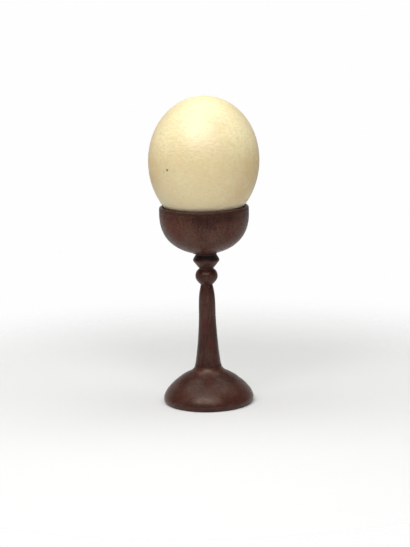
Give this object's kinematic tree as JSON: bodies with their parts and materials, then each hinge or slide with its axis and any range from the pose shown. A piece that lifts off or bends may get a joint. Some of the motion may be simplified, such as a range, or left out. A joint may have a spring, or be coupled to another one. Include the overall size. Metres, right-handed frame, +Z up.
{
  "type": "ostrich egg on a turned wooden stand",
  "caption": "Whole ostrich egg resting upright in a round hardwood cup, on a slim turned stem with beads and a domed round foot.",
  "frame": {"origin": "middle of the foot's flat underside, on the surface that it stands on", "axes": "+Z up along the stem to the top of the egg; -Y towards the viewer; the cup stands 1.5 mm towards -X from the stem's axis, and the egg leans 2.5 degrees towards +X in it"},
  "size_m": [0.1299, 0.13, 0.3647],
  "materials": {
    "eggshell": "satin",
    "cup_wood": "satin",
    "stem_wood": "satin",
    "foot_wood": "satin"
  },
  "bodies": {
    "root": {"egg": "eggshell", "cup": "cup_wood", "stem": "stem_wood", "foot": "foot_wood"}
  },
  "joints": []
}
